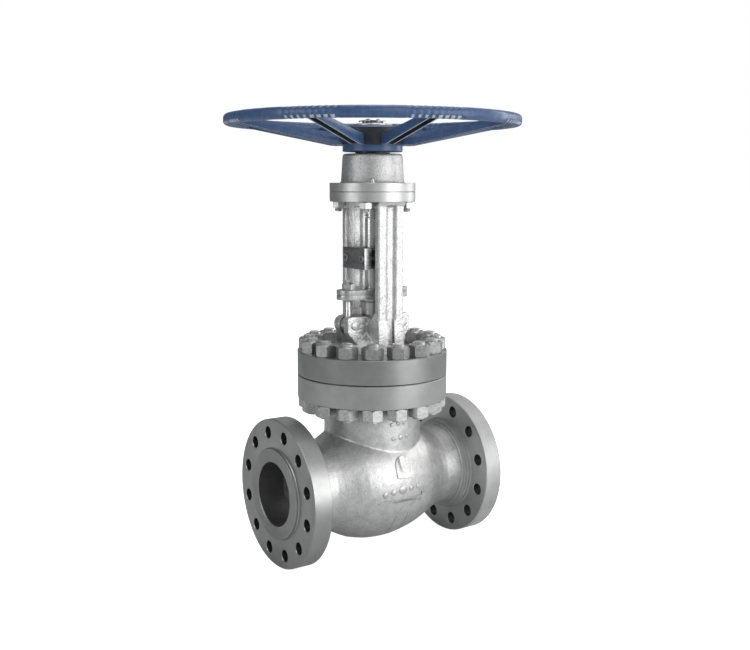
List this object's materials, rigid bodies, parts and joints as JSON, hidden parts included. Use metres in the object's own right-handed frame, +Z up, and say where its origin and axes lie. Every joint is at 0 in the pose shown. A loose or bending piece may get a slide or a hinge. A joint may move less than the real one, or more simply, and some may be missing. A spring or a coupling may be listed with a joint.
{
  "type": "globe valve",
  "caption": "Flanged globe valve with a bolted bonnet, an outside screw and yoke, a packed gland and a round spoked handwheel.",
  "frame": {"origin": "on the floor under the stem, level with the lowest point of both end flanges", "axes": "+X along the pipe from the inlet to the outlet, +Y across it towards the rear yoke arm, +Z up along the stem"},
  "size_m": [0.708, 0.708, 1.0638],
  "materials": {
    "cast_steel": "silver-grey cast steel, light grain",
    "bolting": "plain steel bolting",
    "stem_steel": "ground stainless steel",
    "trim_steel": "machined stainless steel",
    "dark_plate": "dark grey blackened steel",
    "wheel_paint": "mid blue gloss paint on cast iron",
    "bronze": "machined bronze",
    "graphite": "pressed graphite packing"
  },
  "bodies": {
    "valve_body": {"body": "cast_steel", "seat_ring": "trim_steel", "bonnet_gasket": "graphite", "bonnet": "cast_steel", "backseat_bushing": "trim_steel", "bonnet_stud_01": "bolting", "bonnet_stud_02": "bolting", "bonnet_stud_03": "bolting", "bonnet_stud_04": "bolting", "bonnet_stud_05": "bolting", "bonnet_stud_06": "bolting", "bonnet_stud_07": "bolting", "bonnet_stud_08": "bolting", "bonnet_stud_09": "bolting", "bonnet_stud_10": "bolting", "bonnet_stud_11": "bolting", "bonnet_stud_12": "bolting", "bonnet_stud_13": "bolting", "bonnet_stud_14": "bolting", "bonnet_stud_15": "bolting", "bonnet_stud_16": "bolting", "packing_ring_1": "graphite", "packing_ring_2": "graphite", "packing_ring_3": "graphite", "packing_ring_4": "graphite", "packing_ring_5": "graphite", "eyebolt_left": "bolting", "eyebolt_right": "bolting", "eyebolt_pin_left": "bolting", "eyebolt_pin_right": "bolting", "yoke_cap": "cast_steel", "yoke_cap_stud_1": "bolting", "yoke_cap_stud_2": "bolting", "yoke_cap_stud_3": "bolting", "yoke_cap_stud_4": "bolting", "thrust_washer_lower": "bronze", "thrust_washer_upper": "bronze", "grease_nipple": "stem_steel", "identification_tag": "stem_steel"},
    "gland": {"gland_follower": "trim_steel", "gland_flange": "bolting", "eyebolt_nut_left": "bolting", "eyebolt_nut_right": "bolting"},
    "handwheel": {"handwheel": "wheel_paint", "handwheel_washer": "bolting", "handwheel_locknut": "bolting", "handwheel_key": "stem_steel", "yoke_sleeve": "bronze"},
    "stem": {"stem": "stem_steel", "stem_guide_block": "dark_plate", "guide_plate_front": "dark_plate", "guide_plate_rear": "dark_plate", "guide_bolt_near": "bolting", "guide_bolt_far": "bolting"},
    "disc": {"disc": "trim_steel", "disc_nut": "trim_steel"}
  },
  "joints": [
    {"name": "handwheel_turn", "type": "hinge", "parent": "valve_body", "child": "handwheel", "pos_m": [0, 0, 1.0478], "axis": [0, 0, 1], "range_deg": [0, 2520]},
    {"name": "stem_lift", "type": "slide", "parent": "valve_body", "child": "stem", "axis": [0, 0, 1], "range_m": [0, 0.049]},
    {"name": "disc_swivel", "type": "hinge", "parent": "stem", "child": "disc", "pos_m": [0, 0, 0.2178], "axis": [0, 0, 1], "continuous": true},
    {"name": "gland_follow_up", "type": "slide", "parent": "valve_body", "child": "gland", "axis": [0, 0, -1], "range_m": [0, 0.003], "deforming": ["packing_ring_5"]}
  ],
  "couplings": [
    {"joint": "stem_lift", "follows": "handwheel_turn", "m_per_rad": 0.0011141}
  ]
}
